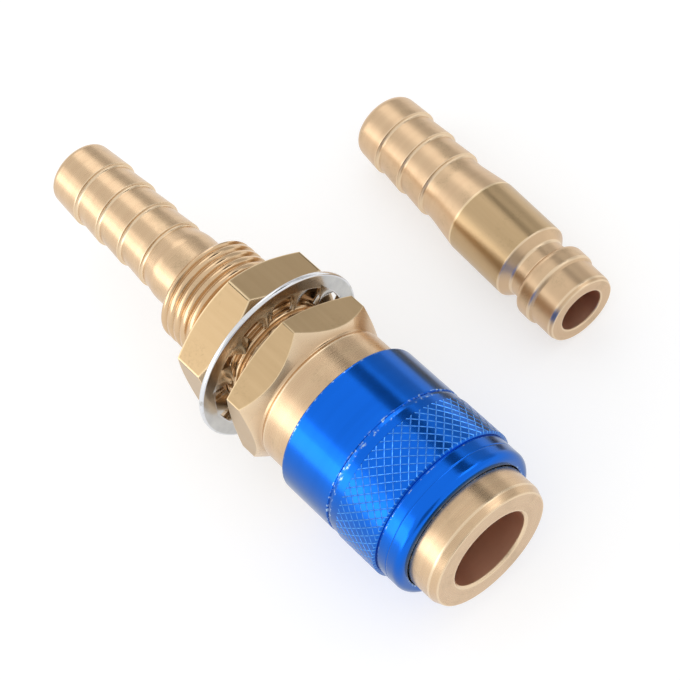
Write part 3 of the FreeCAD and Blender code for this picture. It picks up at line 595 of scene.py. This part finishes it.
def makeNut():
    v = nut
    shape = turn([
        (v["rear"], v["bore"], v["boreRound"]),
        (v["rear"], v["face"], v["faceRound"]),
        (v["rear"] + v["chamfer"], v["corner"]),
        (v["front"] - v["chamfer"], v["corner"]),
        (v["front"], v["face"], v["faceRound"]),
        (v["front"], v["bore"], v["boreRound"]),
    ], fineTurnSteps)
    cutHexagon(shape, v["acrossFlats"], v["roll"], v["edgeRound"])
    return finishPiece(
        shape, "panelNut", "nut", [turnedBrass, barBrass], ["mounting_nut"], weighted=True)


makeNut()


# lock washer

washer = {
    "middle": -3.9, "thickness": 0.8, "outer": 14.8, "inner": 12.2, "edgeRound": 0.25, "tip": 9.5,
    "innerRound": 0.15, "rootLap": 0.4, "rootWidth": 5.3, "toothWidth": 2.4, "toothCount": 12, "twist": 32.0,
    "roll": -3.5, "toothSteps": 16, "toothEdge": 0.2, "toothEdgeSteps": 3, "tipWearAndGlint": 0.6, "nearOrigin": 1e-3,
}


def makeWasher():
    v = washer
    half = v["thickness"] / 2
    shape = turn([
        (v["middle"] - half, v["inner"], v["innerRound"]), (v["middle"] - half, v["outer"], v["edgeRound"]),
        (v["middle"] + half, v["outer"], v["edgeRound"]), (v["middle"] + half, v["inner"], v["innerRound"]),
    ])
    edgeValue = shape.verts.layers.float[edgeName]
    root = v["inner"] + v["rootLap"]
    stride = (root - v["tip"]) / v["toothSteps"]
    for index in range(v["toothCount"]):
        around = Matrix.Rotation(math.radians(v["roll"] + 360 / v["toothCount"] * index), 4, "X")
        section = bmesh.ops.create_circle(shape, segments=4, radius=1, cap_ends=True)["verts"]
        bmesh.ops.rotate(
            shape, cent=(0, 0, 0), matrix=Matrix.Rotation(math.radians(45), 3, "Z"), verts=section)
        bmesh.ops.scale(
            shape, vec=(half * math.sqrt(2), v["rootWidth"] / math.sqrt(2), 1), verts=section)
        bmesh.ops.bevel(
            shape, geom=section, offset=v["toothEdge"], offset_type="OFFSET", segments=v["toothEdgeSteps"],
            profile=0.5, affect="VERTICES", clamp_overlap=True, material=-1)
        face = [made for made in shape.faces if made.calc_center_median().length < v["nearOrigin"]]
        bmesh.ops.translate(shape, vec=(v["middle"], 0, root), verts=face[0].verts)
        tooth = list(face[0].verts)
        width = v["rootWidth"]
        before = 0.0
        for step in range(1, v["toothSteps"] + 1):
            grown = bmesh.ops.extrude_face_region(shape, geom=face)["geom"]
            moved = [part for part in grown if isinstance(part, bmesh.types.BMVert)]
            if step > 1:
                bmesh.ops.delete(shape, geom=face, context="FACES_ONLY")
            face = [part for part in grown if isinstance(part, bmesh.types.BMFace)]
            bmesh.ops.translate(shape, vec=(0, 0, -stride), verts=moved)
            # the root flares out into the ring, and the rest turns smoothly about its own radius
            along = step / v["toothSteps"]
            wanted = v["toothWidth"] + (v["rootWidth"] - v["toothWidth"]) * (1 - along) ** 3
            turned = math.radians(v["twist"]) * math.sin(math.pi / 2 * along) ** 2
            centre = Matrix.Translation((-v["middle"], 0, 0))
            bmesh.ops.rotate(
                shape, cent=(v["middle"], 0, 0), verts=moved, matrix=Matrix.Rotation(-before, 3, "Z"))
            bmesh.ops.scale(shape, vec=(1, wanted / width, 1), verts=moved, space=centre)
            bmesh.ops.rotate(
                shape, cent=(v["middle"], 0, 0), verts=moved, matrix=Matrix.Rotation(turned, 3, "Z"))
            width, before = wanted, turned
            tooth += moved
        # the tooth tips are painted lighter, partly as rubbed wear and partly as a painted glint
        for vert in face[0].verts:
            vert[edgeValue] = v["tipWearAndGlint"]
        bmesh.ops.transform(shape, matrix=around, verts=tooth)
    bmesh.ops.recalc_face_normals(shape, faces=shape.faces)
    return finishPiece(shape, "lockWasher", "washer", [zincPlate], ["lock_washer"])


makeWasher()


# nose body

nose = {
    "rear": 6.8, "chamber": 7.0, "spigot": 8.5, "shoulder": 15.5, "barrel": 9.1, "rampRear": 30.01,
    "rampFront": 35.18, "nose": 10.6, "chamferRear": 39.85, "face": 41.2, "faceRadius": 10.05, "mouth": 6.6,
    "mouthChamfer": 0.3, "race": 6.8, "raceFront": 32.4, "raceRear": 28.4, "floor": 25.9, "sealBore": 6.15,
    "sealFront": 24.6, "sealRear": 22.3, "sealFloor": 7.67, "lipFront": 21.0, "lipRear": 19.8, "lip": 5.2,
    "seatRear": 18.0, "chamferRound": 0.12, "faceRound": 0.1, "lipRound": 0.06, "stepRound": 0.08,
    "floorChamfer": 0.45, "ballStation": 30.4, "ballPitch": 7.4, "ballHole": 1.8, "ballCount": 8,
    "ballSegments": 32, "ballRings": 16, "drillReach": 4, "drillMiddle": 1e-4,
}


def makeNose():
    v = nose
    shape = turn([
        (v["rear"], v["chamber"]), (v["rear"], v["spigot"]), (v["shoulder"], v["spigot"]),
        (v["shoulder"], v["barrel"]), (v["rampRear"], v["barrel"]), (v["rampFront"], v["nose"]),
        (v["chamferRear"], v["nose"], v["chamferRound"]), (v["face"], v["faceRadius"], v["faceRound"]),
        (v["face"], v["mouth"] + v["mouthChamfer"], v["lipRound"]),
        (v["face"] - v["mouthChamfer"], v["mouth"], v["lipRound"]),
        (v["raceFront"], v["mouth"]), (v["raceFront"], v["race"]), (v["raceRear"], v["race"]),
        (v["raceRear"], v["mouth"]), (v["floor"], v["mouth"], v["stepRound"]),
        (v["floor"] - v["floorChamfer"], v["sealBore"], v["stepRound"]),
        (v["sealFront"], v["sealBore"], v["lipRound"]), (v["sealFront"], v["sealFloor"]),
        (v["sealRear"], v["sealFloor"]), (v["sealRear"], v["sealBore"], v["lipRound"]),
        (v["lipFront"], v["sealBore"]), (v["lipFront"], v["lip"], v["stepRound"]),
        (v["lipRear"], v["lip"], v["stepRound"]), (v["seatRear"], v["chamber"]),
    ])
    # faces inside the mouth take the brass with the painted light
    for face in shape.faces:
        middle = face.calc_center_median()
        if middle.x < v["face"] - boreSkin and math.hypot(middle.y, middle.z) < v["mouth"] + boreSkin:
            face.material_index = 1
    piece = finishPiece(shape, "noseBody", "root", [turnedBrass, boreBrassPaintedLight], ["nose_body"])
    cutter = startShape()
    for index in range(v["ballCount"]):
        around = Matrix.Rotation(2 * math.pi * index / v["ballCount"], 4, "X")
        middle = around @ Vector((v["ballStation"], 0, v["ballPitch"]))
        outward = around @ Vector((0, 0, 1))
        ball = bmesh.ops.create_uvsphere(
            cutter, u_segments=v["ballSegments"], v_segments=v["ballRings"], radius=v["ballHole"],
            matrix=Matrix.Translation(middle) @ around)["verts"]
        outer = [vert for vert in ball if (vert.co - middle).dot(outward) > v["drillMiddle"]]
        bmesh.ops.translate(cutter, vec=outward * v["drillReach"], verts=outer)
    bmesh.ops.scale(cutter, vec=(mm, mm, mm), verts=cutter.verts)
    cutterMesh = bpy.data.meshes.new("ballCutter")
    cutter.to_mesh(cutterMesh)
    cutter.free()
    cutterObject = bpy.data.objects.new("ballCutter", cutterMesh)
    bpy.context.scene.collection.objects.link(cutterObject)
    drill = piece.modifiers.new("ballHoles", "BOOLEAN")
    drill.object = cutterObject
    drill.solver = "EXACT"
    bpy.context.view_layer.update()
    drilled = bpy.data.meshes.new_from_object(piece.evaluated_get(bpy.context.evaluated_depsgraph_get()))
    piece.modifiers.clear()
    piece.data = drilled
    drilled.name = "noseBody"
    bpy.data.objects.remove(cutterObject)
    return piece


makeNose()


# sleeve

sleeve = {
    "rear": 11.85, "bore": 11.7, "outer": 12.9, "endRound": 0.3, "boreRound": 0.1, "grooveRear": 21.6,
    "grooveFloor": 12.72, "grooveFront": 21.72, "grooveRound": 0.09, "grooveFloorRound": 0.04,
    "landRamp": 22.25, "land": 12.84, "landRound": 0.1, "knurlRear": 23.5, "knurlFront": 31.4,
    "knurlLap": 0.1, "core": 12.7, "frontGrooveFloor": 12.42, "ringRear": 31.6, "ring": 12.5,
    "ringRound": 0.1, "turnedLine": 33.4, "lineHalf": 0.09, "lineDepth": 0.05, "front": 36.0,
    "frontRound": 1.2, "mouth": 10.72, "mouthChamfer": 0.12, "mouthRound": 0.05, "ramp": 30.15,
    "rampSlope": 0.29, "ballLand": 9.2, "landRear": 24.0,
}


def makeSleeveBody():
    v = sleeve
    shape = turn([
        (v["rear"], v["bore"], v["boreRound"]), (v["rear"], v["outer"], v["endRound"]),
        (v["grooveRear"], v["outer"], v["grooveRound"]),
        (v["grooveRear"], v["grooveFloor"], v["grooveFloorRound"]),
        (v["grooveFront"], v["grooveFloor"], v["grooveFloorRound"]),
        (v["landRamp"], v["land"], v["landRound"]),
        (v["knurlRear"] + v["knurlLap"], v["land"]), (v["knurlRear"] + v["knurlLap"], v["core"]),
        (v["knurlFront"] - v["knurlLap"], v["core"]),
        (v["knurlFront"] - v["knurlLap"], v["frontGrooveFloor"]),
        (v["ringRear"], v["frontGrooveFloor"]), (v["ringRear"], v["ring"], v["ringRound"]),
        (v["turnedLine"] - v["lineHalf"], v["ring"]), (v["turnedLine"], v["ring"] - v["lineDepth"]),
        (v["turnedLine"] + v["lineHalf"], v["ring"]), (v["front"], v["ring"], v["frontRound"]),
        (v["front"], v["mouth"] + v["mouthChamfer"], v["mouthRound"]),
        (v["front"] - v["mouthChamfer"], v["mouth"], v["mouthRound"]),
        (v["ramp"] + (v["mouth"] - v["ballLand"]) / v["rampSlope"], v["mouth"]),
        (v["ramp"], v["ballLand"]), (v["landRear"], v["ballLand"]), (v["landRear"], v["bore"]),
    ], fineTurnSteps)
    return finishPiece(shape, "sleeveBody", "sleeve", [blueAnodised], ["sleeve"])


makeSleeveBody()


# knurl

knurl = {
    "rear": sleeve["knurlRear"], "front": sleeve["knurlFront"], "radius": 13.0, "starts": 50,
    "grooveDepth": 0.075, "grooveHalf": 0.15, "chamfer": 0.2, "end": 12.62, "inner": 12.2, "nearFloor": 1e-4,
    "cornerHighlight": 0.45, "mergeGap": 0.004, "sharpAngle": 25,
}


def trimSheet(shape, axis, station):
    for facing in (-1, 1):
        normal = Vector((0, 0, 0))
        normal[axis] = facing
        bmesh.ops.bisect_plane(
            shape, geom=allParts(shape), dist=cutTolerance, plane_co=normal * station, plane_no=normal,
            clear_outer=True)


def makeKnurl():
    v = knurl
    shape = startShape()
    edgeValue = shape.verts.layers.float[edgeName]
    around = 2 * math.pi * v["radius"]
    side = around / v["starts"] / math.sqrt(2)
    length = v["front"] - v["rear"]
    cells = math.ceil((around + length) / math.sqrt(2) / side) + 2
    cells += cells % 2
    low = v["radius"] - v["grooveDepth"]
    # a flat sheet of squares turned by 45 degrees: x along the sleeve, y round it, z its radius
    bmesh.ops.create_grid(
        shape, x_segments=cells, y_segments=cells, size=cells * side / 2,
        matrix=Matrix.Translation((0, 0, low)) @ Matrix.Rotation(math.radians(45), 4, "Z"))
    for axis, station in ((0, length / 2 + side), (1, around / 2 + side)):
        trimSheet(shape, axis, station)
    for face in shape.faces:
        face.normal_update()
    if sum(face.normal.z for face in shape.faces) < 0:
        bmesh.ops.reverse_faces(shape, faces=shape.faces)
    squares = shape.faces[:]
    bmesh.ops.inset_individual(shape, faces=squares, thickness=v["grooveHalf"], depth=v["grooveDepth"])
    lines = [edge for edge in shape.edges if edge.calc_length() > 2 * v["grooveHalf"]]
    split = bmesh.ops.subdivide_edges(shape, edges=lines, cuts=1, use_grid_fill=True)["geom_inner"]
    halfway = {part for part in split if isinstance(part, bmesh.types.BMVert)}
    # the groove floors carry the mask of the painted highlight, full at their middles and less at their
    # corners
    for vert in shape.verts:
        cut = abs(vert.co.z - low) < v["nearFloor"]
        vert[edgeValue] = (1.0 if vert in halfway else v["cornerHighlight"]) if cut else 0.0
    for axis, station in ((0, length / 2 - v["chamfer"]), (1, around / 2)):
        trimSheet(shape, axis, station)
    # wrapped round the axis, its two long sides meet and merge
    for vert in shape.verts:
        angle = vert.co.y / v["radius"]
        radius = vert.co.z
        vert.co = (vert.co.x, -radius * math.sin(angle), radius * math.cos(angle))
    bmesh.ops.remove_doubles(shape, verts=shape.verts, dist=v["mergeGap"])
    for radius, outwards in ((v["end"], v["chamfer"]), (v["inner"], 0)):
        rims = [edge for edge in shape.edges if edge.is_boundary]
        made = bmesh.ops.extrude_edge_only(shape, edges=rims)["geom"]
        for vert in (part for part in made if isinstance(part, bmesh.types.BMVert)):
            shrink = radius / math.hypot(vert.co.y, vert.co.z)
            vert.co = (
                vert.co.x + math.copysign(outwards, vert.co.x), vert.co.y * shrink, vert.co.z * shrink)
            vert[edgeValue] = 0.0
    bmesh.ops.bridge_loops(shape, edges=[edge for edge in shape.edges if edge.is_boundary])
    bmesh.ops.translate(shape, vec=((v["rear"] + v["front"]) / 2, 0, 0), verts=shape.verts)
    bmesh.ops.recalc_face_normals(shape, faces=shape.faces)
    return finishPiece(
        shape, "sleeveKnurl", "sleeve", [blueKnurled], sharpAngle=v["sharpAngle"])


makeKnurl()


# plug

plug = {
    **rear, "tipRadius": 5.6, "tipRound": 1.6, "nose": 6.0, "noseChamfer": 0.7, "noseChamferDepth": 0.25,
    "noseRound": 0.1, "ringFront": -4.4, "crestFront": -4.9, "crest": 6.45, "ringFrontRound": 0.2,
    "ringRearRound": 1.0, "grooveFront": -7.95, "groove": 5.1, "grooveFrontRound": 0.3, "grooveBack": -10.3,
    "grooveBackRound": 0.2, "bodyFront": -11.75, "body": 6.5, "bodyRear": -23.05, "bodyRound": 0.12,
    "coneRear": -28.85, "coneRound": 0.5, "tailNeck": 5.6, "barbStep": -31.15, "barbCount": 3, "tip": -47.7,
}


def makePlug():
    v = plug
    outline = [
        (0, v["bore"], v["boreRound"]), (0, v["nose"] - v["noseChamferDepth"], v["noseRound"]),
        (-v["noseChamfer"], v["nose"], v["noseRound"]), (v["ringFront"], v["nose"]),
        (v["crestFront"], v["crest"], v["ringFrontRound"]),
        (v["grooveFront"], v["crest"], v["ringRearRound"]),
        (v["grooveFront"], v["groove"], v["grooveFrontRound"]),
        (v["grooveBack"], v["groove"], v["grooveBackRound"]),
        (v["bodyFront"], v["body"], v["bodyRound"]), (v["bodyRear"], v["body"], v["bodyRound"]),
        (v["coneRear"], v["tailNeck"], v["coneRound"]),
    ]
    outline += barbOutline(v, v["barbStep"], v["barbCount"], v["tip"])
    shape = turn(outline)
    for face in shape.faces:
        middle = face.calc_center_median()
        radius = math.hypot(middle.y, middle.z)
        if v["bodyRear"] < middle.x < v["bodyFront"] - boreSkin and radius > v["groove"]:
            face.material_index = 1
        # faces in the bore take the brass with the painted light
        if radius < v["bore"] + boreSkin:
            face.material_index = 2
    place = Matrix.Translation(plugPlace["face"]) @ Matrix.Rotation(plugTurn, 4, "Z")
    return finishPiece(
        shape, "plugTurned", "root", [plugBrass, plugDrawn, plugBorePaintedLight], ["plug"], place=place)


makePlug()


# springs, made to the length of their parts in the frame

springs = {
    "sleeveCoil": {"node": "sleeve_spring", "joint": "sleeve_slide", "wire": 0.45, "turns": 4.5},
    "valveCoil": {"node": "valve_spring", "joint": "valve_slide", "wire": 0.35, "turns": 5.5},
    "turnSteps": 40, "wireSides": 16,
}


def makeSpring(name):
    v = springs[name]
    low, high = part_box(v["node"])
    length = (high.x - low.x) / mm
    radius = (high.z - low.z) / 2 / mm - v["wire"]
    steps = round(v["turns"] * springs["turnSteps"])
    shape = startShape()
    wire = bmesh.ops.create_circle(shape, segments=springs["wireSides"], radius=v["wire"])["verts"]
    bmesh.ops.rotate(shape, cent=(0, 0, 0), matrix=Matrix.Rotation(math.pi / 2, 3, "X"), verts=wire)
    bmesh.ops.translate(shape, vec=(low.x / mm + v["wire"], 0, radius), verts=wire)
    bmesh.ops.spin(
        shape, geom=allParts(shape), cent=(0, 0, 0), axis=(1, 0, 0), angle=2 * math.pi * v["turns"],
        dvec=((length - 2 * v["wire"]) / steps, 0, 0), steps=steps, use_merge=False, use_duplicate=False)
    bmesh.ops.holes_fill(shape, edges=[edge for edge in shape.edges if edge.is_boundary], sides=0)
    bmesh.ops.recalc_face_normals(shape, faces=shape.faces)
    piece = finishPiece(shape, name, "root", [springSteel], [v["node"]])
    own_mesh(piece)


makeSpring("sleeveCoil")
makeSpring("valveCoil")


# pieces carried over from the frame

carried = {
    "valve_poppet": valveBrass, "valve_guide": valveBrass, "poppet_seal": sealRubber, "nose_seal": sealRubber,
    "body_seal": sealRubber,
}
carried.update({f"locking_ball_{index + 1}": ballSteel for index in range(8)})
for name, material in carried.items():
    if not nodes[name].material_slots:
        nodes[name].data.materials.append(material)
    for slot in nodes[name].material_slots:
        slot.link = "OBJECT"
        slot.material = material
print("frame pieces finished")


# floor, light and camera

studio = {
    "floorZ": -14.8, "floorSize": 3.0, "floorColour": (0.5, 0.5, 0.5, 1), "floorRoughness": 0.9,
    "floorGlow": 0.56, "worldLight": 0.92, "target": (0, 0.015, 0),
    "cameraPlace": (0.14909338, -0.05823501, 0.27864408),
    "cameraTurn": (28.53423837, 10.26398212, 47.79456586), "lens": 116.47, "sensor": 36, "nearest": 0.01,
}
lamps = {
    "windowBox": {"place": (-0.2, -0.62, 0.14), "size": (0.9, 0.26), "watts": 1.35},
    "sideBox": {"place": (-0.3, -0.52, 0.34), "size": (0.7, 0.2), "watts": 0.38},
}
# sheets that only reflections show
cards = {
    "darkFront": {"place": (0.39, -0.2, 0.245), "size": (0.29, 0.29), "grey": 0.35},
    "brightFront": {"place": (0.13, 0.41, 0.42), "size": (0.3, 0.26), "grey": 1.9},
    "greyWall": {"place": (-0.2, 0.6, 0.16), "size": (0.9, 0.3), "grey": 0.58},
    "greyCeiling": {"place": (-0.06, 0.4, 0.42), "size": (0.5, 0.2), "grey": 0.14},
    "brightCeiling": {"place": (-0.5, 0.28, 0.46), "size": (0.34, 0.3), "grey": 1.7},
}


def aimAtPart(place):
    return (Vector(studio["target"]) - Vector(place)).to_track_quat("-Z", "Y")


def addSheet(name, materialName, matrix, colour, roughness):
    shape = bmesh.new()
    bmesh.ops.create_grid(shape, x_segments=1, y_segments=1, size=0.5, matrix=matrix)
    mesh = bpy.data.meshes.new(name)
    shape.to_mesh(mesh)
    shape.free()
    sheet = bpy.data.objects.new(name, mesh)
    bpy.context.scene.collection.objects.link(sheet)
    material = bpy.data.materials.new(materialName)
    material.use_nodes = True
    mesh.materials.append(material)
    tree = material.node_tree
    shader = tree.nodes["Principled BSDF"]
    shader.inputs["Base Color"].default_value = colour
    shader.inputs["Roughness"].default_value = roughness
    return sheet, tree, shader


def makeFloor():
    v = studio
    matrix = Matrix.Translation((0, 0, v["floorZ"] * mm))
    matrix = matrix @ Matrix.Diagonal((v["floorSize"], v["floorSize"], 1, 1))
    floor, tree, shader = addSheet("floor", "floorPaper", matrix, v["floorColour"], v["floorRoughness"])
    # white to the camera and in reflections, and lit as paper for all other light
    seen = addNode(tree, "LightPath").outputs
    lit = compute(tree, "MAXIMUM", seen["Is Camera Ray"], seen["Is Glossy Ray"])
    lit = compute(tree, "MAXIMUM", lit, seen["Is Transmission Ray"])
    shader.inputs["Emission Color"].default_value = (1, 1, 1, 1)
    tree.links.new(compute(tree, "MULTIPLY", lit, v["floorGlow"]), shader.inputs["Emission Strength"])


def makeWorld():
    world = bpy.data.worlds.new("studio")
    bpy.context.scene.world = world
    world.use_nodes = True
    background = world.node_tree.nodes["Background"]
    background.inputs["Color"].default_value = (1, 1, 1, 1)
    background.inputs["Strength"].default_value = studio["worldLight"]


def addLamp(name, place, size, watts):
    data = bpy.data.lights.new(name, "AREA")
    data.shape = "RECTANGLE"
    data.size, data.size_y = size
    data.energy = watts
    lamp = bpy.data.objects.new(name, data)
    lamp.location = place
    lamp.rotation_euler = aimAtPart(place).to_euler()
    bpy.context.scene.collection.objects.link(lamp)


def addCard(name, place, size, grey):
    aim = aimAtPart(place).to_matrix().to_4x4()
    matrix = Matrix.Translation(place) @ aim @ Matrix.Diagonal((size[0], size[1], 1, 1))
    card, _, shader = addSheet(name, name, matrix, (0, 0, 0, 1), 1.0)
    card.visible_camera = False
    card.visible_shadow = False
    card.visible_diffuse = False
    shader.inputs["Emission Color"].default_value = (grey, grey, grey, 1)
    shader.inputs["Emission Strength"].default_value = 1.0


makeFloor()
makeWorld()
for name, values in lamps.items():
    addLamp(name, **values)
for name, values in cards.items():
    addCard(name, **values)

camera = bpy.data.objects.new("camera", bpy.data.cameras.new("camera"))
camera.location = studio["cameraPlace"]
camera.rotation_euler = [math.radians(angle) for angle in studio["cameraTurn"]]
camera.data.lens = studio["lens"]
camera.data.sensor_width = studio["sensor"]
camera.data.clip_start = studio["nearest"]
bpy.context.scene.collection.objects.link(camera)
bpy.context.scene.camera = camera
bpy.context.scene.view_settings.view_transform = "Standard"

print("scene finished")
